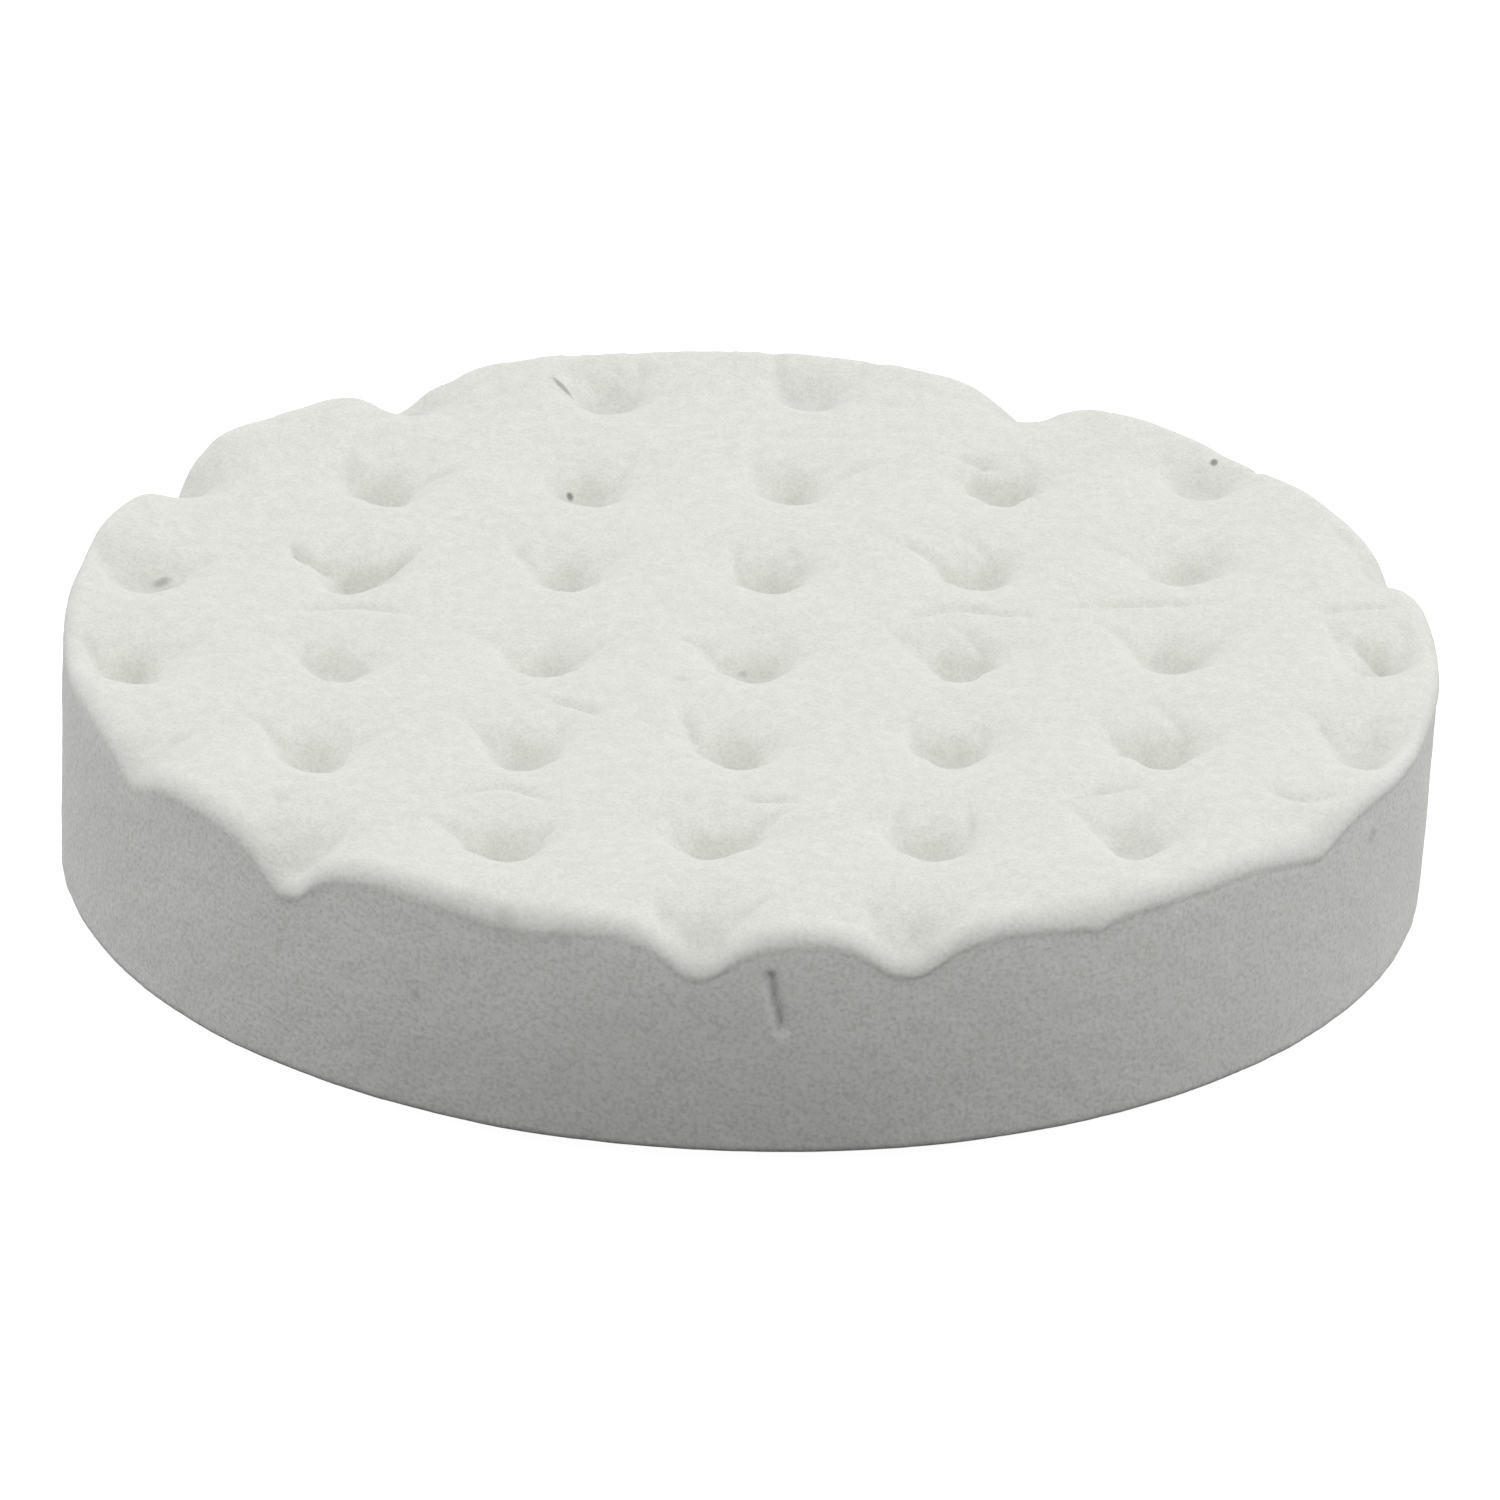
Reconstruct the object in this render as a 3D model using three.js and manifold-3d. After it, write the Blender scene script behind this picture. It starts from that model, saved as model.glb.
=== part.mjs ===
// A dimpled foam polishing pad for a rotary or random-orbit machine: a round slab of white open-cell foam
// whose working face is tufted with a slanted grid of dimples, an adhesive film laminated to its back,
// and a smaller disc of knitted loop cloth that grips the hooks of a backing plate.
// Millimetres, +Z up. The origin is the middle of the loop cloth's underside, and the working face is up.

import * as THREE from "three";
import { mergeVertices } from "three/addons/utils/BufferGeometryUtils.js";
import Module from "manifold-3d";

const wasm = await Module();
wasm.setup();

// Backing: a loop cloth cut for a 5 inch (127 mm) backing plate, and the film that bonds it to the foam.
const BACKING_RADIUS = 63.5;
const LOOP_CLOTH_THICKNESS = 2.0;
const LOOP_CLOTH_EDGE = 0.4; // how far the cloth's pressed edge leans in, over its lower half
const FILM_THICKNESS = 0.3;

// Foam: a 5.5 inch by 1 inch slab, die cut, so its side leans in a little towards the back.
const FOAM_RADIUS = 69.85;
const FOAM_BACK_RADIUS = 68.85;
const FOAM_THICKNESS = 25.4;
const RIM_ROUNDING = 1.3;

// Dimples: one round-bottomed tuft each, on a grid whose rows and columns aren't quite square to each other.
const DIMPLE_RADIUS = 6.8;
const DIMPLE_DEPTH = 4.2;
const ROW_PITCH = 21.1;
const ROW_TURN = THREE.MathUtils.degToRad(5.0); // a row runs along +X, turned this far towards +Y
const COLUMN_PITCH = 21.7;
const COLUMN_TURN = THREE.MathUtils.degToRad(4.3); // a column runs along -Y, turned this far towards -X
const MIDDLE_DIMPLE = new THREE.Vector2(0.6, -3.4); // the dimple nearest the pad's axis
const RIM_REACH = 0.7 * DIMPLE_RADIUS; // a dimple centred further out than this past the rim leaves no mark

// Fineness of the round surfaces.
const DISC_SEGMENTS = 80;
const DIMPLE_SEGMENTS = 14;
const DIMPLE_STEPS = 4;
const ROUNDING_STEPS = 3;

const FILM_Z = LOOP_CLOTH_THICKNESS;
const FOAM_Z = FILM_Z + FILM_THICKNESS;

const foamMaterial = new THREE.MeshStandardMaterial({ color: 0xe3e3dc, roughness: 0.95, metalness: 0 });
const filmMaterial = new THREE.MeshStandardMaterial({ color: 0xcfcfc6, roughness: 0.45, metalness: 0 });
const clothMaterial = new THREE.MeshStandardMaterial({ color: 0xdcdcd8, roughness: 0.9, metalness: 0 });

// A solid of revolution about +Z from [radius, height] pairs that start and end on the axis.
function turned(profile, segments) {
  const points = profile.map(([radius, height]) => new THREE.Vector2(radius, height));
  return new THREE.LatheGeometry(points, segments).rotateX(Math.PI / 2);
}

// The same closed surface as a solid that can be cut.
function toSolid(geometry) {
  const bare = geometry.clone();
  bare.deleteAttribute("normal");
  bare.deleteAttribute("uv");
  const merged = mergeVertices(bare);
  const vertProperties = merged.attributes.position.array;
  const triVerts = new Uint32Array(merged.index.array);
  return new wasm.Manifold(new wasm.Mesh({ numProp: 3, vertProperties, triVerts }));
}

function toGeometry(solid) {
  const { numProp, vertProperties, triVerts } = solid.getMesh();
  const geometry = new THREE.BufferGeometry();
  geometry.setAttribute("position", new THREE.BufferAttribute(vertProperties, numProp));
  geometry.setIndex(new THREE.BufferAttribute(triVerts, 1));
  geometry.computeVertexNormals();
  return geometry;
}

// The slab before it is dimpled, from its flat back up its leaning side and over the rounded rim.
function foamBlank() {
  const profile = [[0, 0], [FOAM_BACK_RADIUS, 0]];
  for (let step = 0; step <= ROUNDING_STEPS; step += 1) {
    const angle = (Math.PI / 2) * (step / ROUNDING_STEPS);
    const radius = FOAM_RADIUS - RIM_ROUNDING * (1 - Math.cos(angle));
    const height = FOAM_THICKNESS - RIM_ROUNDING * (1 - Math.sin(angle));
    profile.push([radius, height]);
  }
  profile.push([0, FOAM_THICKNESS]);
  return turned(profile, DISC_SEGMENTS);
}

// What one dimple takes away: a cosine bell, upside down, closed by a cap above the working face.
function dimpleCutter() {
  const profile = [];
  for (let step = 0; step <= DIMPLE_STEPS; step += 1) {
    const share = step / DIMPLE_STEPS;
    const depth = DIMPLE_DEPTH * 0.5 * (1 + Math.cos(Math.PI * share));
    profile.push([DIMPLE_RADIUS * share, -depth]);
  }
  profile.push([DIMPLE_RADIUS, 1], [0, 1]);
  return turned(profile, DIMPLE_SEGMENTS);
}

// Every crossing of the slanted grid that marks the working face, those cut through by the rim included.
function dimpleCentres() {
  const alongRow = new THREE.Vector2(Math.cos(ROW_TURN), Math.sin(ROW_TURN)).multiplyScalar(ROW_PITCH);
  const alongColumn = new THREE.Vector2(-Math.sin(COLUMN_TURN), -Math.cos(COLUMN_TURN)).multiplyScalar(COLUMN_PITCH);
  const reach = Math.ceil((2 * FOAM_RADIUS) / ROW_PITCH);
  const centres = [];
  for (let column = -reach; column <= reach; column += 1) {
    for (let row = -reach; row <= reach; row += 1) {
      const centre = MIDDLE_DIMPLE.clone();
      centre.addScaledVector(alongRow, column);
      centre.addScaledVector(alongColumn, row);
      if (centre.length() < FOAM_RADIUS + RIM_REACH) centres.push(centre);
    }
  }
  return centres;
}

function foamDisc() {
  const cutter = toSolid(dimpleCutter());
  let solid = toSolid(foamBlank());
  for (const centre of dimpleCentres()) {
    solid = solid.subtract(cutter.translate([centre.x, centre.y, FOAM_THICKNESS]));
  }
  const disc = new THREE.Mesh(toGeometry(solid), foamMaterial);
  disc.name = "foam_disc";
  disc.position.z = FOAM_Z;
  return disc;
}

function adhesiveFilm() {
  const profile = [[0, 0], [BACKING_RADIUS, 0], [BACKING_RADIUS, FILM_THICKNESS], [0, FILM_THICKNESS]];
  const film = new THREE.Mesh(turned(profile, DISC_SEGMENTS), filmMaterial);
  film.name = "adhesive_film";
  film.position.z = FILM_Z;
  return film;
}

function loopBacking() {
  const profile = [
    [0, 0],
    [BACKING_RADIUS - LOOP_CLOTH_EDGE, 0],
    [BACKING_RADIUS, LOOP_CLOTH_THICKNESS / 2],
    [BACKING_RADIUS, LOOP_CLOTH_THICKNESS],
    [0, LOOP_CLOTH_THICKNESS],
  ];
  const backing = new THREE.Mesh(turned(profile, DISC_SEGMENTS), clothMaterial);
  backing.name = "loop_backing";
  return backing;
}

const pad = new THREE.Group();
pad.add(foamDisc(), adhesiveFilm(), loopBacking());

export default pad;
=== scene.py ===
"""Looks for the dimpled foam polishing pad.

The foam is one closed mesh: a pillowed and dimpled working face, a rounded and scalloped rim, a die-cut
side and a flat back. Under it lie the adhesive film and the knitted loop cloth with its pile of loops.
"""
import math

import bpy
import numpy as np
from mathutils import Matrix, Vector


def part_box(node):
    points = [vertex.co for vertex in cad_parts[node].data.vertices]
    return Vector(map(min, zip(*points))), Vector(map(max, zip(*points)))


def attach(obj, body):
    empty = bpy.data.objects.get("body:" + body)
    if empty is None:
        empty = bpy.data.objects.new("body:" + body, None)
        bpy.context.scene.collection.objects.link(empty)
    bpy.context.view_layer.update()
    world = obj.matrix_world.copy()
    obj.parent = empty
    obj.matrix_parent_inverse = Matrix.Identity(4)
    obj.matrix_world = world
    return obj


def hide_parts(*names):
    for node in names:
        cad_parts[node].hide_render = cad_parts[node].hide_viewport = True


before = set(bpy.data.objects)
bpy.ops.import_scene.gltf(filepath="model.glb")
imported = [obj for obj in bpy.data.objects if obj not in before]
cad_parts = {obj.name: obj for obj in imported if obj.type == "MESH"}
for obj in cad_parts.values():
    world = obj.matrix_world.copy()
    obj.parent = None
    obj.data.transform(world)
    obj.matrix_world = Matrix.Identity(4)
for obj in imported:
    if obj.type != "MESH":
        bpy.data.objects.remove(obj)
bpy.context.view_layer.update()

MM = 0.001
FOAM_LOW, FOAM_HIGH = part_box("foam_disc")
FILM_LOW, FILM_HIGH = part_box("adhesive_film")
CLOTH_LOW, CLOTH_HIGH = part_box("loop_backing")

# The foam slab, from its CAD solid.
FOAM_RADIUS = FOAM_HIGH.x
FOAM_TOP = FOAM_HIGH.z
FOAM_BACK = FOAM_LOW.z
FACE_RADIUS = FOAM_RADIUS - 0.35 * MM  # the side leans in a little from the face to the back
BACK_RADIUS = FOAM_RADIUS - 1.0 * MM
FACE_SHIFT = 0.35 * MM  # the die leaned a little: the face lies off to the right, the back to the left
BACK_SHIFT = -0.15 * MM
FACE_SINK = 0.15 * MM  # how far the face between the dimples lies under the solid's top
RIM_ROUNDING = 2.1 * MM
BACK_EDGE_ROUNDING = 0.5 * MM

# The slanted grid of dimples, as the CAD solid has it.
ROW_PITCH = 21.1 * MM
ROW_TURN = math.radians(5.0)
COLUMN_PITCH = 21.7 * MM
COLUMN_TURN = math.radians(4.3)
MIDDLE_DIMPLE = (0.6 * MM, -3.4 * MM)
DIMPLE_REACH = 6.5 * MM  # a dimple centred further out than this past the rim leaves no mark

# A dimple is a steep cup at the near side of a shallow pull. Near the rim the cup has gentler walls and
# stands in the middle of a deeper pull.
CUP_DEPTH = 3.05 * MM
CUP_WIDTH = 3.25 * MM
CUP_FLARE = 0.12  # by what share the cup gets wider for each millimetre towards its far side
CUP_FLARE_RANGE = (-3 * MM, 5 * MM)
CUP_SHIFT = -1.6 * MM
CUP_STEEPNESS = 5
PULL_DEPTH = 0.9 * MM
PULL_WIDTH = 6.5 * MM
RIM_PULL = 1.65 * MM
RIM_STEEPNESS = 3
RIM_REACH = 6 * MM
DIMPLE_NUDGE = 0.25 * MM  # how far chance moves a dimple off its place
DIMPLE_STRENGTHS = (0.88, 1.12)
CUP_LOBES = (0.03, 0.11)  # how far a cup's outline strays from a circle, in shares of its width
# Painted shade in the dimple cups, darkest at each cup's near side.
CUP_SHADE_SHARE = 0.8  # share of painted shade at a cup's middle; it grows towards the near side
CUP_SHADE_REACH = 3.5 * MM  # towards the far side, that share falls by one over this length

# Folds run out of each cup: two long ones from its sides towards the far side, and some short ones anywhere.
# A long fold has its heading in degrees and its start, sideways from the cup's middle.
LONG_FOLDS = [(74, 2.9 * MM), (106, -2.9 * MM)]
LONG_FOLD_REACH = 5.5 * MM
LONG_FOLD_DEPTH = 0.5 * MM
SHORT_FOLD_REACH = 3.6 * MM
SHORT_FOLD_DEPTH = 0.15 * MM
SHORT_FOLD_COUNT = 3
FOLD_WIDTH = 0.9 * MM
FOLD_TURN_SCATTER = 8
FOLD_LENGTHS = (0.8, 1.2)
FOLD_DEPTHS = (0.5, 1.3)
FOLD_BENDS = (-0.08, 0.08)
FOLD_MIDDLE = 0.75  # a fold is deepest at this share of its reach
FOLD_SPREAD = 0.55  # and fades away over this share of it on both sides of that

# Places where the rim of the face stands up, or dips where the rise is negative: middle and half width in
# degrees, and rise in millimetres.
RIM_SWELLS = [(90, 60, 0.5), (122, 46, 1.2), (147, 9, 2.3), (128, 5, 0.6), (107, 8, 0.6), (86, 6, 0.6)]
RIM_SWELLS += [(164, 5, 0.9), (170, 14, 0.9), (21, 4, 1.9), (-35, 30, -0.45), (-140, 30, 0.3)]
SWELL_REACH = 9 * MM

# Dimples that stray from the grid, by column and row: the stray along X and Y and the share of full depth.
STRAY_DIMPLES = {
    (-2, 2): (-0.3 * MM, -1.7 * MM, 0.95),
    (-3, 1): (2.3 * MM, -2.0 * MM, 0.5),
    (0, 3): (0.3 * MM, -0.6 * MM, 0.84),
    (1, 3): (0.7 * MM, -0.6 * MM, 0.76),
    (-1, 3): (0.3 * MM, -2.0 * MM, 1.0),
    (2, 3): (0.3 * MM, -2.0 * MM, 1.0),
    (3, 2): (0.3 * MM, -2.0 * MM, 1.0),
    (-2, -3): (0, -0.8 * MM, 0.65),
    (1, -3): (1.9 * MM, -0.8 * MM, 0.75),
    (2, -2): (0, 0, 0.65),
    (-1, -3): (0, 0.8 * MM, 0.6),
    (0, -3): (0, 0.8 * MM, 0.6),
    (3, 0): (0, 0, 0.7),
    (3, 1): (0, 0, 0.7),
    (-3, -1): (-0.7 * MM, -1.0 * MM, 0.75),
}

# A nick in the front of the cut side: its upper and lower end along X and Z.
SLIT_TOP = (3.2 * MM, 21.8 * MM)
SLIT_BOTTOM = (4.5 * MM, 16.0 * MM)
SLIT_DEPTH = 0.9 * MM
SLIT_WIDTH = 0.42 * MM

# Unevenness of the foam: how high, how large and with which seed, for each layer of soft lumps.
FACE_LUMPS = [(0.2 * MM, 9 * MM, 1), (0.1 * MM, 3.5 * MM, 2)]
FACE_LUMPS += [(0.035 * MM, 1.1 * MM, 3), (0.025 * MM, 0.55 * MM, 4)]
SIDE_LUMPS = [(0.14 * MM, 11 * MM, 11), (0.05 * MM, 2.4 * MM, 12), (0.03 * MM, 0.8 * MM, 13)]

# Fineness of the foam mesh.
FACE_CELLS = 288
RIM_RINGS = 7
SIDE_ROWS = 60
SMOOTH_SIDE_ROWS = 4  # the side's lumps fade in over this many rows under the rim
BACK_EDGE_RINGS = 2
BACK_RINGS = 10
BACK_RINGS_REACH = 0.2  # the rings cover this share of the back, and a fan of triangles covers the rest

# Creases pressed into the working face, each through three places on it, in millimetres.
CREASES = [
    [(15.7, 4.8), (21.3, 8.2), (29.4, 6.3)],
    [(-20.2, -17.3), (-16.7, -18.0), (-14.4, -20.7)],
    [(-0.4, -38.6), (2.6, -39.1), (5.6, -39.4)],
    [(32.5, -36.8), (35.5, -34.4), (39.5, -33.4)],
    [(31.4, 9.2), (39.5, 11.0), (47.6, 11.1)],
    [(56.8, 9.8), (60.8, 11.6), (65.9, 12.4)],
    [(-45.4, 2.8), (-40.9, 4.8), (-34.3, 3.1)],
    [(-30.2, -42.0), (-24.3, -38.0), (-19.3, -41.2)],
    [(20.6, 46.0), (23.0, 45.8), (26.0, 44.6)],
    [(52.0, -32.3), (55.5, -33.6), (59.0, -32.2)],
]
DEEP_CREASES = [
    [(-46.2, 19.4), (-45.4, 17.0), (-41.8, 16.4)],
    [(-41.8, 16.4), (-38.8, 15.6), (-34.5, 18.6)],
    [(60.5, 4.8), (63.5, 3.4), (65.5, 0.5)],
]
CREASE_WIDTH = 0.75 * MM
CREASE_DEPTH = 0.75 * MM
DEEP_CREASE_DEPTH = 1.3 * MM
CREASE_FADE = 0.6  # the smaller, the further a crease keeps its depth towards its ends
CREASE_STEPS = 40  # points along a crease
CREASE_MARGIN = 2 * MM  # a crease sinks nothing further out than this

# Dark specks on the foam, and painted shade along the nick in the side: place, turn about the upright in
# degrees, half sizes along the speck's own X, Y and Z, and how dark. Places and sizes are in millimetres.
SPECKS_AND_NICK_SHADE = [
    ((-20.0, 59.9, 27.5), 138, (1.9, 0.55, 2.5), 0.5),
    ((-18.8, 39.2, 24.5), 10, (0.5, 0.6, 0.7), 0.75),
    ((47.2, 47.5, 26.9), 0, (0.5, 0.7, 0.7), 0.7),
    ((-0.5, -3.0, 24.4), 20, (0.7, 0.5, 0.5), 0.25),
    ((-6.5, -11.0, 27.3), 0, (1.2, 0.9, 2.0), 0.12),
    ((-59.5, 12.6, 25.4), 20, (1.5, 0.6, 0.9), 0.35),
    ((-46.0, -42.2, 27.3), 0, (0.9, 1.3, 2.0), 0.1),
    ((63.2, -29.7, 21.0), 65, (1.2, 3.0, 1.2), 0.2),
    ((-23.2, -65.9, 25.6), 0, (1.5, 3.0, 1.5), 0.12),
    ((-17.2, -67.7, 24.2), 0, (1.0, 3.0, 1.0), 0.12),
    ((-31.9, -61.2, 15.0), 0, (0.7, 3.0, 0.9), 0.15),
    # The last two darken the nick in the front of the side: painted shade in it.
    ((3.5, -69.0, 20.3), 0, (0.6, 2.0, 2.6), 0.2),
    ((4.2, -69.0, 17.2), 0, (0.6, 2.0, 2.6), 0.2),
]

# Colours, and pairs of tones that a mottled stuff varies between.
FOAM_TONES = ((0.814, 0.820, 0.771), (0.870, 0.874, 0.825))
CUT_COLOUR = (0.885, 0.887, 0.866)
# Painted shade in the dimple cups darkens the foam towards this colour.
CUP_SHADE_COLOUR = (0.62, 0.635, 0.645)
PORE_COLOUR = (0.62, 0.615, 0.58)
SPECK_AND_SHADE_COLOUR = (0.16, 0.15, 0.13)
FILM_TONES = ((0.70, 0.69, 0.62), (0.78, 0.77, 0.71))
KNIT_TONES = ((0.74, 0.74, 0.72), (0.84, 0.84, 0.82))
YARN_TONES = ((0.80, 0.80, 0.78), (0.90, 0.90, 0.88))
WHITE = (1, 1, 1, 1)

# How large the marks in the materials are.
MOTTLE_SIZE = 1.6 * MM
PORE_SIZE = 0.3 * MM
CUT_PORE_SIZE = 0.45 * MM
CELL_SIZE = 0.6 * MM
FUZZ_SIZE = 0.35 * MM
CLOUD_SIZE = 4 * MM
RIB_SIZE = 6 * MM
WEAR_SIZE = 1.2 * MM
YARN_TONE_SIZE = 2.5 * MM

# The part of each noise or attribute that makes a mark, and how strongly the mark covers what is under it.
MOTTLE_RANGE = (0.35, 0.65)
# How strongly the painted shade in the dimple cups covers the foam's colour.
CUP_SHADE_RANGE = (0.1, 0.9)
CUP_SHADE_STRENGTH = 0.28
PORE_RANGE = (0.44, 0.64)
PORE_STRENGTH = 0.34
CUT_STRENGTH = 0.85
CUT_PORE_RANGE = (0.46, 0.64)
CUT_PORE_STRENGTH = 0.5
SPECK_AND_SHADE_RANGE = (0, 0.5)

# How far light soaks into the foam, and the share of that for red, green and blue.
SOAKING_DEPTH = 1.2 * MM
SOAKING_TINT = (1.0, 0.97, 0.88)

# The loop cloth: its ground, and the rows of yarn loops under it.
GROUND_THICKNESS = 0.7 * MM
YARN_RADIUS = 0.1 * MM
LOOP_ROW = 1.75 * MM
LOOP_STEP = 1.5 * MM
LOOP_SCATTER = 0.35 * MM
LOOP_MARGIN = 1.2 * MM
LOOP_ROOT = 0.1 * MM  # how deep the feet of a loop sit in the ground
LOOP_TURN_SCATTER = 0.5  # in radians
LOOP_LEANS = (-0.45, 0.45)  # sideways, in shares of a loop's height
LOOP_HEIGHTS = (0.86, 1.0)  # shares of the room between the ground and the pad's lowest level
LOOP_WIDTHS = (0.9 * MM, 1.3 * MM)
LOOP_BULGE = 0.25  # the larger, the more a loop bulges out on both sides
LOOP_FULLNESS = 0.8  # the smaller, the fuller the bow at a loop's lower end
LOOP_POINTS = 7
YARN_SIDES = 4
TUBE_HELPER = np.array([0.31, 0.95, 0.02])  # a heading that hardly any stretch of yarn runs along

# The film and the cloth's ground are thin discs with slightly wavy edges.
SHEET_CELLS = 100
SHEET_WAVE_SIZE = 0.12  # of one wave along the edge, in shares of the disc's radius
FILM_WAVE = 0.25 * MM
CLOTH_WAVE = 0.35 * MM

# Seeds of the random draws.
DIMPLE_SEED = 7
FILM_SEED = 21
PILE_SEED = 31
CLOTH_SEED = 41

# The camera stands in front of the pad and looks down at it.
CAMERA_ELEVATION = math.radians(24.9)
CAMERA_ROLL = math.radians(1.75)
CAMERA_DISTANCE = 2.573
CAMERA_LENS = 609
CAMERA_AIM = Vector((0.47 * MM, 0, FOAM_BACK + 12.36 * MM))
CAMERA_RANGE = (0.1, 100)

# Square soft boxes: azimuth and elevation in degrees, and power.
SOFT_BOX_SIZE = 1.0
SOFT_BOX_DISTANCE = 1.6
SOFT_BOXES = {
    "front_box": (-90, 38, 1.0),
    "left_box": (165, 24, 2.9),
    "right_box": (10, 25, 5.3),
    "back_left_box": (142, 25, 1.2),
    "back_right_box": (40, 25, 0.7),
}
WORLD_LIGHT = 0.75

# The floor glows for the camera and gives no diffuse light. A dark card under it and a dark flag in front of
# the pad, which the camera doesn't see, keep light off the lower part of the side.
FLOOR_HALF = 20
FLOOR_TONE = (0.5, 0.5, 0.5)
FLOOR_GLOW = 0.95
CARD_HALF = 0.8
CARD_LEVEL = -1 * MM
CARD_TONE = (0.02, 0.02, 0.02)
FLAG_TONE = (0.15, 0.15, 0.15)
FLAG_HALF = 110 * MM
FLAG_PLACE = -125 * MM
FLAG_HEIGHT = 23 * MM


# ---------------------------------------------------------------- numbers

def hashed(cell, seed):
    """A number from -1 to 1 for each whole-number cell, the same on every run: large factors scramble it."""
    mixed = cell[:, 0] * 374761393 + cell[:, 1] * 668265263 + cell[:, 2] * 1274126177 + seed * 974634777
    mixed = (mixed ^ (mixed >> 13)) * 1103515245
    mixed = mixed ^ (mixed >> 16)
    return (mixed & 0xFFFF) / 32767.5 - 1.0


def smooth_noise(points, size, seed):
    """Soft lumps of about that size: values from -1 to 1 at the points."""
    place = points / size
    cell = np.floor(place).astype(np.int64)
    part = place - cell
    part = part * part * (3 - 2 * part)
    total = np.zeros(len(points))
    for corner in np.ndindex(2, 2, 2):
        share = np.ones(len(points))
        for axis in range(3):
            share *= part[:, axis] if corner[axis] else 1 - part[:, axis]
        total += share * hashed(cell + np.array(corner), seed)
    return total


def lumpy(points, layers):
    """The soft lumps of all the layers together, at the points."""
    return sum(height * smooth_noise(points, size, seed) for height, size, seed in layers)


def on_plane(x, y):
    return np.column_stack([x, y, np.zeros(len(x))])


# ---------------------------------------------------------------- working face

def dimple_places():
    """Every crossing of the grid that marks the face: its x, its y and its share of full depth."""
    along_row = np.array([math.cos(ROW_TURN), math.sin(ROW_TURN)]) * ROW_PITCH
    along_column = np.array([-math.sin(COLUMN_TURN), -math.cos(COLUMN_TURN)]) * COLUMN_PITCH
    reach = math.ceil(2 * FOAM_RADIUS / ROW_PITCH)
    places = []
    for column in range(-reach, reach + 1):
        for row in range(-reach, reach + 1):
            x, y = np.array(MIDDLE_DIMPLE) + column * along_row + row * along_column
            if math.hypot(x, y) < FOAM_RADIUS + DIMPLE_REACH:
                stray_x, stray_y, strength = STRAY_DIMPLES.get((column, row), (0, 0, 1))
                places.append((x + stray_x, y + stray_y, strength))
    return places


def fold_depth(dx, dy, chance):
    """How far one dimple's folds sink the face, at places given from its cup's middle."""
    folds = []
    for turn, side in LONG_FOLDS:
        folds.append((turn + chance.normal(0, FOLD_TURN_SCATTER), side, LONG_FOLD_REACH, LONG_FOLD_DEPTH))
    for _ in range(SHORT_FOLD_COUNT):
        folds.append((chance.uniform(0, 360), 0, SHORT_FOLD_REACH, SHORT_FOLD_DEPTH))
    depth = np.zeros(len(dx))
    for turn, side, reach, sunk in folds:
        heading = math.radians(turn)
        reach *= chance.uniform(*FOLD_LENGTHS)
        sunk *= chance.uniform(*FOLD_DEPTHS)
        along = (dx - side) * math.cos(heading) + dy * math.sin(heading)
        across = dy * math.cos(heading) - (dx - side) * math.sin(heading)
        across += chance.uniform(*FOLD_BENDS) * along**2 / MM
        lengthwise = np.exp(-(((along - FOLD_MIDDLE * reach) / (FOLD_SPREAD * reach)) ** 2))
        depth += sunk * lengthwise * np.exp(-((across / FOLD_WIDTH) ** 2)) * (along > 0)
    return depth


def cup_bell(dx, dy, at_rim, chance):
    """One cup's depth from 0 at its outside to 1 at its middle: a rounded well with an uneven outline."""
    steepness = CUP_STEEPNESS + (RIM_STEEPNESS - CUP_STEEPNESS) * at_rim
    oval, trefoil = chance.uniform(*CUP_LOBES, 2)
    turn_two, turn_three = chance.uniform(0, 2 * math.pi, 2)
    flare = 1 + CUP_FLARE * (1 - at_rim) * np.clip(dy, *CUP_FLARE_RANGE) / MM
    angle = np.arctan2(dy, dx)
    bend = 1 + oval * np.cos(2 * angle - turn_two) + trefoil * np.cos(3 * angle - turn_three)
    return 1 / (1 + (np.hypot(dx / flare, dy) / (bend * CUP_WIDTH)) ** steepness)


def dimple_depth(x, y):
    """How far the dimples pull the face down, and how much painted shade each place gets, from 0 to 1."""
    chance = np.random.default_rng(DIMPLE_SEED)
    depth = np.zeros(len(x))
    cup_shade = np.zeros(len(x))
    for middle_x, middle_y, strength in dimple_places():
        inward = max(0, FOAM_RADIUS - math.hypot(middle_x, middle_y))
        at_rim = math.exp(-((inward / RIM_REACH) ** 2))
        nudge_x, nudge_y = chance.normal(0, DIMPLE_NUDGE, 2)
        strength *= chance.uniform(*DIMPLE_STRENGTHS)
        dx = x - middle_x - nudge_x
        dy = y - middle_y - nudge_y
        cup_y = dy - CUP_SHIFT * (1 - at_rim)
        bell = cup_bell(dx, cup_y, at_rim, chance)
        pull = np.exp(-((np.hypot(dx, dy) / PULL_WIDTH) ** 2))
        depth += strength * ((PULL_DEPTH + RIM_PULL * at_rim) * pull + CUP_DEPTH * bell)
        depth += fold_depth(dx, cup_y, chance)
        # Painted shade: darkest at the near side of each cup, and fading towards its far side.
        cup_shade = np.maximum(cup_shade, bell * np.clip(CUP_SHADE_SHARE - cup_y / CUP_SHADE_REACH, 0, 1))
    return depth, cup_shade


def along_curve(start, middle, end):
    """Points on the smooth curve through three places in millimetres."""
    start, middle, end = (np.array(place) * MM for place in (start, middle, end))
    control = 2 * middle - 0.5 * (start + end)
    share = np.linspace(0, 1, CREASE_STEPS)[:, None]
    return (1 - share) ** 2 * start + 2 * share * (1 - share) * control + share**2 * end


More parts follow.
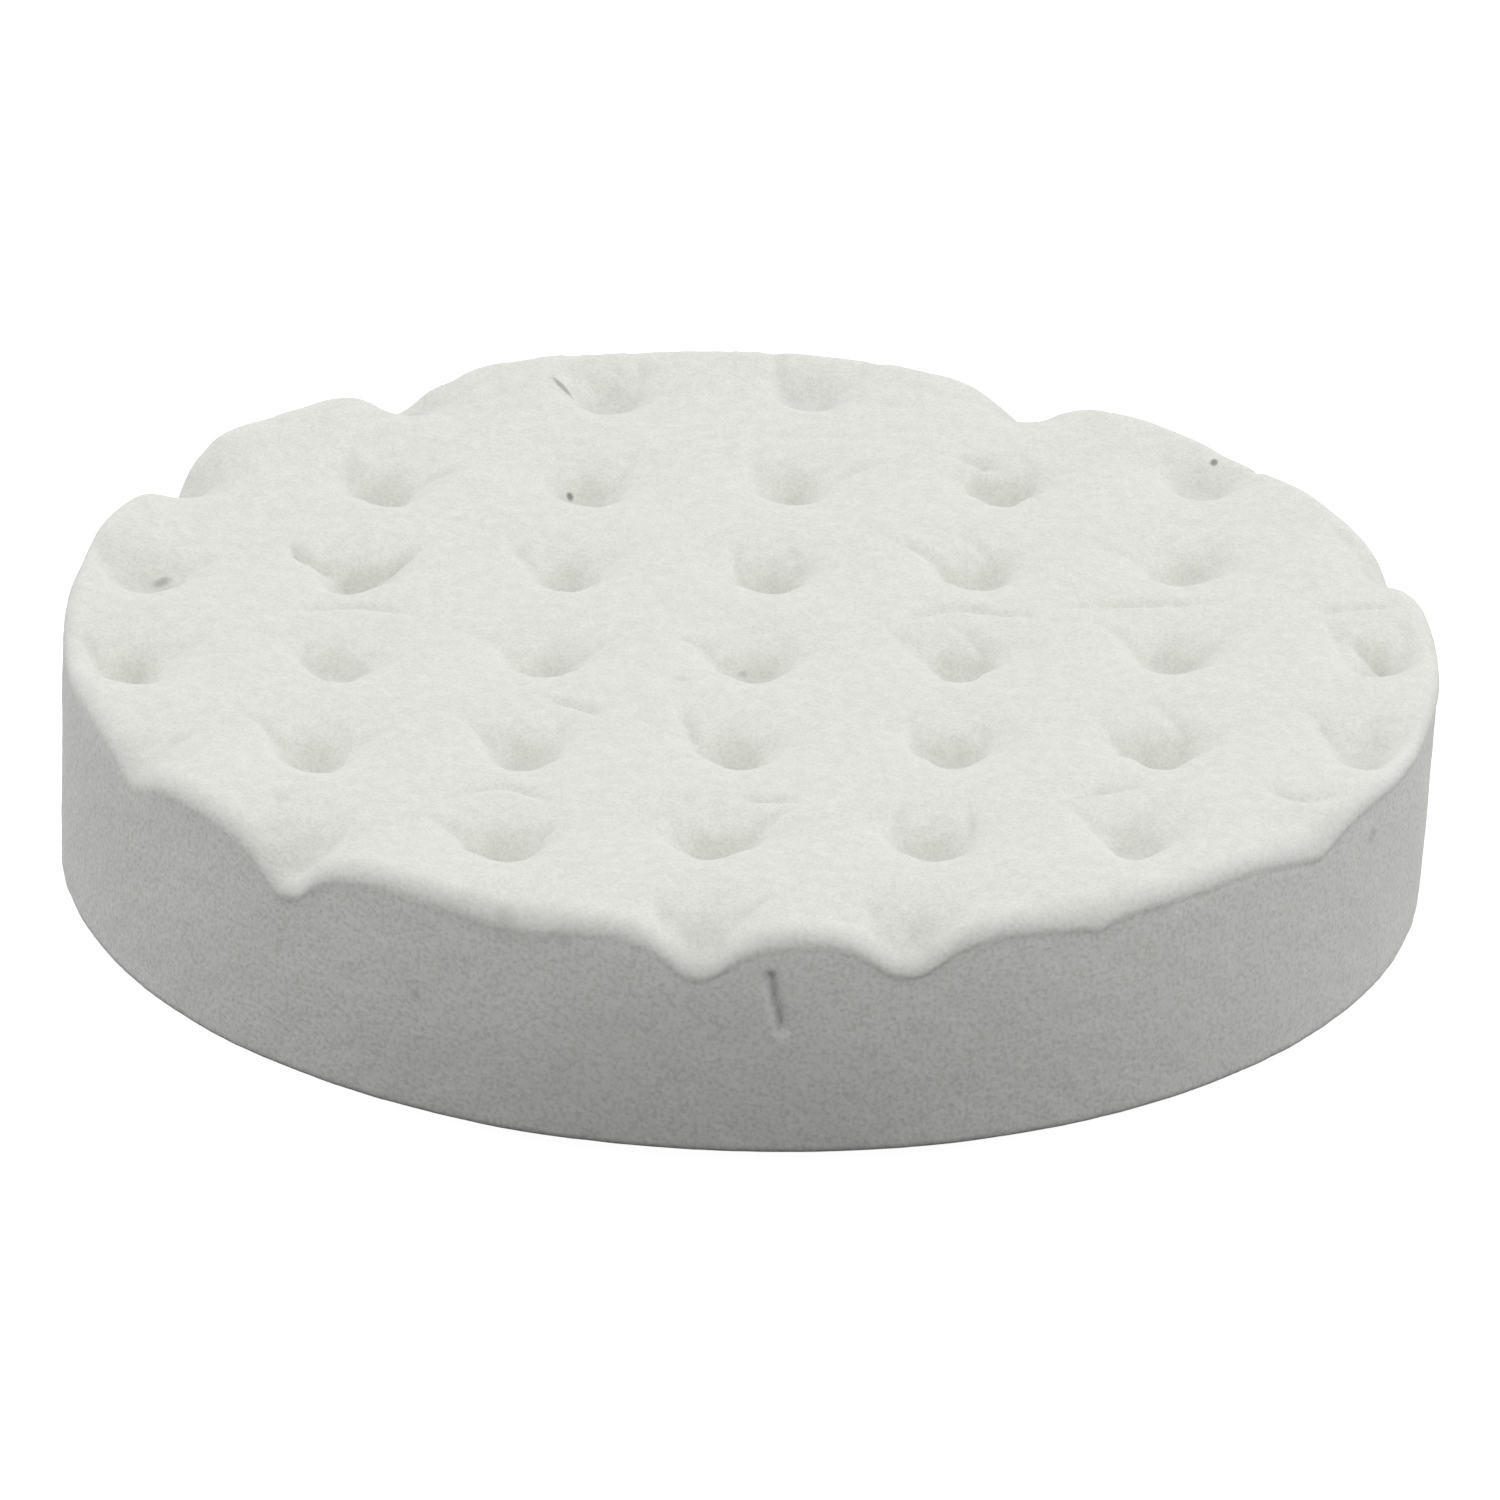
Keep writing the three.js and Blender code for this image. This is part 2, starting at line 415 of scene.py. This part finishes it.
def crease_depth(x, y):
    """How far the creases sink the face. Each one fades out towards its ends."""
    depth = np.zeros(len(x))
    creases = [(crease, CREASE_DEPTH) for crease in CREASES]
    creases += [(crease, DEEP_CREASE_DEPTH) for crease in DEEP_CREASES]
    for crease, lowest in creases:
        line = along_curve(*crease)
        low, high = line.min(0) - CREASE_MARGIN, line.max(0) + CREASE_MARGIN
        near = np.flatnonzero((x > low[0]) & (x < high[0]) & (y > low[1]) & (y < high[1]))
        if len(near) == 0:
            continue
        gap = np.hypot(x[near, None] - line[:, 0], y[near, None] - line[:, 1])
        nearest = gap.argmin(1)
        fade = np.sin(math.pi * (nearest + 0.5) / len(line)) ** CREASE_FADE
        sunk = fade * np.exp(-((gap.min(1) / CREASE_WIDTH) ** 2))
        depth[near] = np.maximum(depth[near], lowest * sunk)
    return depth


def rim_rise(x, y):
    """How far the face stands up towards the rim, where it does."""
    angle = np.degrees(np.arctan2(y, x))
    rise = np.zeros(len(x))
    for middle, half_width, height in RIM_SWELLS:
        gap = (angle - middle + 180) % 360 - 180
        rise += height * MM * np.exp(-((gap / half_width) ** 2))
    inward = FOAM_RADIUS - np.hypot(x, y)
    return rise * np.exp(-((inward / SWELL_REACH) ** 2))


def face_height(x, y):
    """Height of the working face over the solid's top, and how much painted shade each place gets in the
    dimple cups.
    """
    depth, cup_shade = dimple_depth(x, y)
    height = lumpy(on_plane(x, y), FACE_LUMPS) - depth - crease_depth(x, y) - FACE_SINK
    return height + rim_rise(x, y), cup_shade


# ---------------------------------------------------------------- foam mesh

def disc_grid(cells):
    """A square grid laid smoothly onto the unit disc: its points, its faces, and its edge in order."""
    across = np.linspace(-1, 1, cells + 1)
    a, b = (part.ravel() for part in np.meshgrid(across, across, indexing="ij"))
    sideways = np.abs(a) > np.abs(b)
    radius = np.where(sideways, a, b)
    safe_a, safe_b = np.where(a == 0, 1, a), np.where(b == 0, 1, b)
    angle = np.where(sideways, math.pi / 4 * b / safe_a, math.pi / 2 - math.pi / 4 * a / safe_b)
    points = np.column_stack([radius * np.cos(angle), radius * np.sin(angle)])
    index = np.arange((cells + 1) ** 2).reshape(cells + 1, cells + 1)
    corners = [index[:-1, :-1], index[1:, :-1], index[1:, 1:], index[:-1, 1:]]
    faces = np.stack([corner.ravel() for corner in corners], 1)
    edge = np.concatenate([index[:-1, 0], index[-1, :-1], index[:0:-1, -1], index[0, :0:-1]])
    return points, faces, edge


def ring_faces(upper, lower):
    """Quads between two rings of point numbers, facing away from the rings' middle."""
    return np.stack([upper, lower, np.roll(lower, -1), np.roll(upper, -1)], 1)


def slit_depth(points):
    """How far a short upright nick, a little slanted, cuts into the front of the side."""
    top, bottom = np.array(SLIT_TOP), np.array(SLIT_BOTTOM)
    place = points[:, [0, 2]]
    along = np.clip(((place - top) @ (bottom - top)) / ((bottom - top) @ (bottom - top)), 0, 1)
    gap = np.hypot(*(place - top - along[:, None] * (bottom - top)).T)
    in_front = points[:, 1] < 0
    return np.where(in_front, SLIT_DEPTH * np.exp(-((gap / SLIT_WIDTH) ** 2)), 0)


def side_relief(points):
    """How far the cut side stands out at the points, along its radius."""
    return lumpy(points, SIDE_LUMPS) - slit_depth(points)


def rounding_rings(heading):
    """Rings over the rounding between the face and the side."""
    rings = []
    for step in range(1, RIM_RINGS + 1):
        turn = math.pi / 2 * step / RIM_RINGS
        place = heading * (FACE_RADIUS - RIM_ROUNDING * (1 - math.sin(turn)))
        place[:, 0] += FACE_SHIFT
        height, _ = face_height(place[:, 0], place[:, 1])
        level = FOAM_TOP + height - RIM_ROUNDING * (1 - math.cos(turn))
        rings.append(np.column_stack([place, level]))
    return rings


def side_rings(heading, crown):
    """Rings down the leaning side, from the lower end of the rounding to the back edge."""
    rings = []
    side_end = FOAM_BACK + BACK_EDGE_ROUNDING
    for row in range(1, SIDE_ROWS + 1):
        share = row / SIDE_ROWS
        level = crown[:, 2] * (1 - share) + side_end * share
        down = (FOAM_TOP - level) / (FOAM_TOP - FOAM_BACK)
        radius = FACE_RADIUS + (BACK_RADIUS - FACE_RADIUS) * down
        ring = np.column_stack([heading * radius[:, None], level])
        ring[:, 0] += FACE_SHIFT + (BACK_SHIFT - FACE_SHIFT) * down
        fade = min(1.0, row / SMOOTH_SIDE_ROWS)
        ring[:, :2] += heading * (fade * side_relief(ring))[:, None]
        rings.append(ring)
    return rings


def back_rings(heading, last):
    """Rings round the back edge and in under the flat back."""
    rings = []
    side_end = FOAM_BACK + BACK_EDGE_ROUNDING
    for step in range(1, BACK_EDGE_RINGS + 1):
        turn = math.pi / 2 * step / BACK_EDGE_RINGS
        ring = last.copy()
        ring[:, :2] -= heading * BACK_EDGE_ROUNDING * (1 - math.cos(turn))
        ring[:, 2] = side_end - BACK_EDGE_ROUNDING * math.sin(turn)
        rings.append(ring)
    edge = rings[-1]
    for step in range(1, BACK_RINGS + 1):
        ring = edge.copy()
        ring[:, :2] *= 1 - BACK_RINGS_REACH * step / BACK_RINGS
        rings.append(ring)
    return rings


def foam_rings(angle):
    """Rings of points from the rim's top edge, over the rounding, down the side and in under the back."""
    heading = np.column_stack([np.cos(angle), np.sin(angle)])
    rings = rounding_rings(heading)
    rings += side_rings(heading, rings[-1])
    rings += back_rings(heading, rings[-1])
    return rings


def foam_mesh():
    """The whole closed foam mesh, with the painted shade in the dimple cups and how cut it is kept as point
    attributes.
    """
    unit, faces, edge = disc_grid(FACE_CELLS)
    face_xy = unit * (FACE_RADIUS - RIM_ROUNDING) + np.array([FACE_SHIFT, 0])
    height, face_cup_shade = face_height(face_xy[:, 0], face_xy[:, 1])
    points = [np.column_stack([face_xy, FOAM_TOP + height])]
    angle = np.arctan2(unit[edge, 1], unit[edge, 0])
    all_faces = [faces]
    upper, count = edge, len(face_xy)
    for ring in foam_rings(angle):
        lower = count + np.arange(len(ring))
        points.append(ring)
        all_faces.append(ring_faces(upper, lower))
        upper, count = lower, count + len(ring)
    points.append(np.array([[0, 0, FOAM_BACK]]))
    centre = np.full(len(upper), count)
    fan = np.stack([upper, centre, np.roll(upper, -1)], 1)
    mesh = mesh_from("foam", np.concatenate(points), np.concatenate(all_faces).tolist() + fan.tolist())
    cup_shade = np.zeros(len(mesh.vertices))
    cup_shade[: len(face_xy)] = face_cup_shade
    rings_out = (np.arange(len(mesh.vertices)) - len(face_xy)) // len(edge)  # below 0 on the face
    # The painted shade in the dimple cups.
    keep_attribute(mesh, "cup_shade", cup_shade)
    keep_attribute(mesh, "cut", np.clip(rings_out / RIM_RINGS, 0, 1))
    return mesh


def mesh_from(name, points, faces):
    mesh = bpy.data.meshes.new(name)
    mesh.from_pydata(np.asarray(points).tolist(), [], faces)
    mesh.update()
    mesh.shade_smooth()
    return mesh


def keep_attribute(mesh, name, values):
    attribute = mesh.attributes.new(name, "FLOAT", "POINT")
    attribute.data.foreach_set("value", np.asarray(values, np.float32))


def add_object(name, mesh, material):
    piece = bpy.data.objects.new(name, mesh)
    bpy.context.scene.collection.objects.link(piece)
    mesh.materials.append(material)
    return piece


# ---------------------------------------------------------------- materials

def new_material(name, roughness, specular=0.0):
    """A material with one Principled shader, and the parts of its tree."""
    material = bpy.data.materials.new(name)
    material.use_nodes = True
    nodes = material.node_tree.nodes
    shader = nodes["Principled BSDF"]
    shader.inputs["Roughness"].default_value = roughness
    shader.inputs["Specular IOR Level"].default_value = specular
    return material, nodes, material.node_tree.links, shader


def noise_node(nodes, links, place, size, detail):
    node = nodes.new("ShaderNodeTexNoise")
    node.inputs["Scale"].default_value = 1 / size
    node.inputs["Detail"].default_value = detail
    links.new(place, node.inputs["Vector"])
    return node.outputs["Fac"]


def mixed_colour(nodes, links, share, first, second):
    """A colour that goes from first to second as the share goes from 0 to 1."""
    node = nodes.new("ShaderNodeMix")
    node.data_type = "RGBA"
    for socket, colour in ((node.inputs["A"], first), (node.inputs["B"], second)):
        if isinstance(colour, tuple):
            socket.default_value = (*colour, 1)
        else:
            links.new(colour, socket)
    links.new(share, node.inputs["Factor"])
    return node.outputs["Result"]


def scaled(nodes, links, value, part, strength=1.0):
    """The value's part between two numbers, stretched to run from 0 to the strength."""
    node = nodes.new("ShaderNodeMapRange")
    node.inputs["From Min"].default_value = part[0]
    node.inputs["From Max"].default_value = part[1]
    node.inputs["To Max"].default_value = strength
    links.new(value, node.inputs["Value"])
    return node.outputs["Result"]


def attribute_node(nodes, name):
    node = nodes.new("ShaderNodeAttribute")
    node.attribute_name = name
    return node.outputs["Fac"]


def bump_node(nodes, links, height, strength, distance, below=None):
    node = nodes.new("ShaderNodeBump")
    node.inputs["Strength"].default_value = strength
    node.inputs["Distance"].default_value = distance
    links.new(height, node.inputs["Height"])
    if below is not None:
        links.new(below, node.inputs["Normal"])
    return node.outputs["Normal"]


def speck_share(nodes, links, place, middle, turn, half_sizes):
    """How far inside a soft-edged ellipsoid each place is, from 0 outside to 1 at its middle."""
    local = nodes.new("ShaderNodeMapping")
    local.vector_type = "TEXTURE"
    local.inputs["Location"].default_value = Vector(middle) * MM
    local.inputs["Rotation"].default_value = (0, 0, math.radians(turn))
    local.inputs["Scale"].default_value = Vector(half_sizes) * MM
    links.new(place, local.inputs["Vector"])
    ball = nodes.new("ShaderNodeTexGradient")
    ball.gradient_type = "SPHERICAL"
    links.new(local.outputs["Vector"], ball.inputs["Vector"])
    return ball.outputs["Fac"]


def specked_and_shaded(nodes, links, place, colour):
    """The colour with the dark specks and the painted shade along the nick laid over it."""
    for middle, turn, half_sizes, darkness in SPECKS_AND_NICK_SHADE:
        inside = speck_share(nodes, links, place, middle, turn, half_sizes)
        share = scaled(nodes, links, inside, SPECK_AND_SHADE_RANGE, darkness)
        colour = mixed_colour(nodes, links, share, colour, SPECK_AND_SHADE_COLOUR)
    return colour


def product(nodes, links, first, second):
    node = nodes.new("ShaderNodeMath")
    node.operation = "MULTIPLY"
    links.new(first, node.inputs[0])
    links.new(second, node.inputs[1])
    return node.outputs["Value"]


def foam_colour(nodes, links, place):
    """Soft mottling, paler where the foam is cut, darker with painted shade at the near side of each dimple
    cup, and dark in the pores.
    """
    noise = noise_node(nodes, links, place, MOTTLE_SIZE, detail=4)
    colour = mixed_colour(nodes, links, scaled(nodes, links, noise, MOTTLE_RANGE), *FOAM_TONES)
    # Painted shade at the near side of each dimple cup.
    cup_shade = attribute_node(nodes, "cup_shade")
    share = scaled(nodes, links, cup_shade, CUP_SHADE_RANGE, CUP_SHADE_STRENGTH)
    colour = mixed_colour(nodes, links, share, colour, CUP_SHADE_COLOUR)
    noise = noise_node(nodes, links, place, PORE_SIZE, detail=3)
    share = scaled(nodes, links, noise, PORE_RANGE, PORE_STRENGTH)
    colour = mixed_colour(nodes, links, share, colour, PORE_COLOUR)
    cut = attribute_node(nodes, "cut")
    share = scaled(nodes, links, cut, (0, 1), CUT_STRENGTH)
    colour = mixed_colour(nodes, links, share, colour, CUT_COLOUR)
    noise = noise_node(nodes, links, place, CUT_PORE_SIZE, detail=4)
    share = scaled(nodes, links, noise, CUT_PORE_RANGE, CUT_PORE_STRENGTH)
    colour = mixed_colour(nodes, links, product(nodes, links, share, cut), colour, PORE_COLOUR)
    return specked_and_shaded(nodes, links, place, colour)


def foam_material():
    """White open-cell foam: its mottled colour, its fine cells in relief, and light that soaks in."""
    material, nodes, links, shader = new_material("white_foam", roughness=0.95, specular=0.2)
    place = nodes.new("ShaderNodeTexCoord").outputs["Object"]
    links.new(foam_colour(nodes, links, place), shader.inputs["Base Color"])
    cells = nodes.new("ShaderNodeTexVoronoi")
    cells.inputs["Scale"].default_value = 1 / CELL_SIZE
    links.new(place, cells.inputs["Vector"])
    normal = bump_node(nodes, links, cells.outputs["Distance"], strength=0.35, distance=0.12 * MM)
    fuzz = noise_node(nodes, links, place, FUZZ_SIZE, detail=3)
    normal = bump_node(nodes, links, fuzz, strength=0.35, distance=0.1 * MM, below=normal)
    links.new(normal, shader.inputs["Normal"])
    shader.inputs["Subsurface Weight"].default_value = 0.5
    shader.inputs["Subsurface Radius"].default_value = SOAKING_TINT
    shader.inputs["Subsurface Scale"].default_value = SOAKING_DEPTH
    return material


def film_material():
    """Milky hot-melt film, a little glossy."""
    material, nodes, links, shader = new_material("melt_film", roughness=0.42, specular=0.5)
    place = nodes.new("ShaderNodeTexCoord").outputs["Object"]
    cloud = noise_node(nodes, links, place, CLOUD_SIZE, detail=3)
    links.new(mixed_colour(nodes, links, cloud, *FILM_TONES), shader.inputs["Base Color"])
    normal = bump_node(nodes, links, cloud, strength=0.3, distance=0.2 * MM)
    links.new(normal, shader.inputs["Normal"])
    return material


def cloth_material():
    """The knitted ground of the loop cloth: fine wavy ribs and an uneven tone."""
    material, nodes, links, shader = new_material("knit_ground", roughness=0.88, specular=0.25)
    place = nodes.new("ShaderNodeTexCoord").outputs["Object"]
    ribs = nodes.new("ShaderNodeTexWave")
    ribs.inputs["Scale"].default_value = 1 / RIB_SIZE
    ribs.inputs["Distortion"].default_value = 0.6
    links.new(place, ribs.inputs["Vector"])
    wear = noise_node(nodes, links, place, WEAR_SIZE, detail=4)
    links.new(mixed_colour(nodes, links, wear, *KNIT_TONES), shader.inputs["Base Color"])
    normal = bump_node(nodes, links, ribs.outputs["Fac"], strength=0.6, distance=0.15 * MM)
    links.new(normal, shader.inputs["Normal"])
    shader.inputs["Sheen Weight"].default_value = 0.2
    return material


def yarn_material():
    """White yarn with a faint sheen."""
    material, nodes, links, shader = new_material("loop_yarn", roughness=0.7, specular=0.35)
    place = nodes.new("ShaderNodeTexCoord").outputs["Object"]
    tone = noise_node(nodes, links, place, YARN_TONE_SIZE, detail=3)
    links.new(mixed_colour(nodes, links, tone, *YARN_TONES), shader.inputs["Base Color"])
    shader.inputs["Sheen Weight"].default_value = 0.15
    return material


# ---------------------------------------------------------------- pieces

def make_foam():
    foam = add_object("foam_body", foam_mesh(), foam_material())
    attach(foam, "root")
    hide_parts("foam_disc")


def disc_sheet(name, radius, low, high, wave, seed):
    """A thin closed disc with a slightly wavy edge."""
    unit, faces, edge = disc_grid(SHEET_CELLS)
    angle = np.arctan2(unit[:, 1], unit[:, 0])
    around = np.column_stack([np.cos(angle), np.sin(angle), np.zeros(len(angle))])
    reach = radius - wave + wave * smooth_noise(around, SHEET_WAVE_SIZE, seed)
    share = np.hypot(unit[:, 0], unit[:, 1])[:, None]
    flat = unit * (radius + share * (reach[:, None] - radius))
    top = np.column_stack([flat, np.full(len(flat), high)])
    bottom = np.column_stack([flat, np.full(len(flat), low)])
    under = len(top)
    all_faces = np.concatenate([faces, faces[:, ::-1] + under, ring_faces(edge, edge + under)])
    return mesh_from(name, np.concatenate([top, bottom]), all_faces.tolist())


def make_film():
    mesh = disc_sheet("film", FILM_HIGH.x, FILM_LOW.z, FILM_HIGH.z, FILM_WAVE, FILM_SEED)
    film = add_object("melt_film", mesh, film_material())
    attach(film, "root")
    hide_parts("adhesive_film")


def unit_rows(vectors):
    return vectors / np.linalg.norm(vectors, axis=1)[:, None]


def tube_along(line, radius, sides, start):
    """Points and faces of a closed tube along a line of points, numbered from start."""
    steps = unit_rows(np.gradient(line, axis=0))
    first = unit_rows(np.cross(steps, TUBE_HELPER))
    second = np.cross(steps, first)
    turn = 2 * math.pi * np.arange(sides) / sides
    ring = np.cos(turn)[None, :, None] * first[:, None] + np.sin(turn)[None, :, None] * second[:, None]
    points = (line[:, None] + radius * ring).reshape(-1, 3)
    faces = []
    for step in range(len(line) - 1):
        for side in range(sides):
            a = start + step * sides + side
            b = start + step * sides + (side + 1) % sides
            faces.append((a, b, b + sides, a + sides))
    faces.append(tuple(start + side for side in reversed(range(sides))))
    faces.append(tuple(start + (len(line) - 1) * sides + side for side in range(sides)))
    return points, faces


def loop_line(foot, heading, lean, height, width):
    """One yarn loop: out of the cloth, down round the bow, and back in, leaning to one side."""
    turn = np.linspace(0, math.pi, LOOP_POINTS)
    across = -np.cos(turn) * (0.5 + LOOP_BULGE * np.sin(turn)) * width
    down = np.sin(turn) ** LOOP_FULLNESS * height
    side = np.array([math.cos(heading), math.sin(heading), 0])
    over = np.array([-side[1], side[0], 0]) * lean
    return foot + across[:, None] * side + down[:, None] * (over - np.array([0, 0, 1]))


def pile_mesh():
    """Rows of yarn loops hanging from the cloth's ground down to the pad's lowest level."""
    chance = np.random.default_rng(PILE_SEED)
    radius = CLOTH_HIGH.x - LOOP_MARGIN
    root = CLOTH_HIGH.z - GROUND_THICKNESS + LOOP_ROOT
    points, faces, count = [], [], 0
    for row in np.arange(-radius, radius, LOOP_ROW):
        for place in np.arange(-radius, radius, LOOP_STEP):
            foot = np.array([place, row, root])
            foot[:2] += chance.uniform(-LOOP_SCATTER, LOOP_SCATTER, 2)
            heading = chance.normal(0, LOOP_TURN_SCATTER)
            lean = chance.uniform(*LOOP_LEANS)
            height = (root - CLOTH_LOW.z - YARN_RADIUS) * chance.uniform(*LOOP_HEIGHTS)
            width = chance.uniform(*LOOP_WIDTHS)
            if np.hypot(foot[0], foot[1]) > radius:
                continue
            line = loop_line(foot, heading, lean, height, width)
            new_points, new_faces = tube_along(line, YARN_RADIUS, YARN_SIDES, count)
            points.append(new_points)
            faces.extend(new_faces)
            count += len(new_points)
    return mesh_from("pile", np.concatenate(points), faces)


def make_backing():
    """The loop cloth: its knitted ground as a sheet, and its pile of loops as a piece on it."""
    low = CLOTH_HIGH.z - GROUND_THICKNESS
    ground = disc_sheet("ground", CLOTH_HIGH.x, low, CLOTH_HIGH.z, CLOTH_WAVE, CLOTH_SEED)
    cloth = add_object("loop_cloth_ground", ground, cloth_material())
    pile = add_object("loop_cloth_pile", pile_mesh(), yarn_material())
    for piece in (cloth, pile):
        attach(piece, "root")
    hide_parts("loop_backing")


# ---------------------------------------------------------------- studio

def make_camera():
    camera = bpy.data.objects.new("camera", bpy.data.cameras.new("camera"))
    bpy.context.scene.collection.objects.link(camera)
    camera.data.lens = CAMERA_LENS
    camera.data.clip_start, camera.data.clip_end = CAMERA_RANGE
    back = Vector((0, -math.cos(CAMERA_ELEVATION), math.sin(CAMERA_ELEVATION)))
    camera.location = back * CAMERA_DISTANCE
    look = CAMERA_AIM - camera.location
    turn = look.to_track_quat("-Z", "Y").to_matrix() @ Matrix.Rotation(CAMERA_ROLL, 3, "Z")
    camera.rotation_euler = turn.to_euler()
    bpy.context.scene.camera = camera


def soft_box(name, azimuth, elevation, power):
    """A square soft box aimed at the pad, from that azimuth and elevation in degrees."""
    data = bpy.data.lights.new(name, "AREA")
    data.size = SOFT_BOX_SIZE
    data.energy = power
    light = bpy.data.objects.new(name, data)
    bpy.context.scene.collection.objects.link(light)
    azimuth, elevation = math.radians(azimuth), math.radians(elevation)
    level = math.cos(elevation)
    toward = Vector((level * math.cos(azimuth), level * math.sin(azimuth), math.sin(elevation)))
    light.location = toward * SOFT_BOX_DISTANCE
    light.rotation_euler = (-toward).to_track_quat("-Z", "Y").to_euler()


def make_world():
    """Even white light from all around."""
    world = bpy.data.worlds.new("studio")
    bpy.context.scene.world = world
    world.use_nodes = True
    background = world.node_tree.nodes["Background"]
    background.inputs["Color"].default_value = WHITE
    background.inputs["Strength"].default_value = WORLD_LIGHT


def make_lights():
    for name, (azimuth, elevation, power) in SOFT_BOXES.items():
        soft_box(name, azimuth, elevation, power)
    make_world()


def staged_square(name, corners, tone):
    """A flat four-cornered piece of the studio, in one matt tone, with its shader."""
    material, _, _, shader = new_material(name, roughness=1.0)
    shader.inputs["Base Color"].default_value = (*tone, 1)
    square = add_object(name, mesh_from(name, corners, [(0, 1, 2, 3)]), material)
    return square, shader


def level_corners(half, level):
    return [(-half, -half, level), (half, -half, level), (half, half, level), (-half, half, level)]


def make_floor():
    """A plain pale floor that glows for the camera, but gives no diffuse light and casts no shadow."""
    floor, shader = staged_square("floor", level_corners(FLOOR_HALF, 0), FLOOR_TONE)
    shader.inputs["Emission Color"].default_value = WHITE
    shader.inputs["Emission Strength"].default_value = FLOOR_GLOW
    floor.visible_diffuse = False
    floor.visible_shadow = False


def make_card():
    """A dark card under the floor, so that hardly any light comes up onto the pad's side."""
    card, _ = staged_square("bounce_card", level_corners(CARD_HALF, CARD_LEVEL), CARD_TONE)
    card.visible_camera = False


def make_flag():
    """A dark upright flag in front of the pad, which shades the lower part of its side."""
    corners = [(-FLAG_HALF, FLAG_PLACE, 0), (FLAG_HALF, FLAG_PLACE, 0)]
    corners += [(FLAG_HALF, FLAG_PLACE, FLAG_HEIGHT), (-FLAG_HALF, FLAG_PLACE, FLAG_HEIGHT)]
    flag, _ = staged_square("flag", corners, FLAG_TONE)
    flag.visible_camera = False


def make_studio():
    make_camera()
    make_lights()
    make_floor()
    make_card()
    make_flag()
    bpy.context.scene.view_settings.view_transform = "Standard"


make_studio()
make_foam()
make_film()
make_backing()
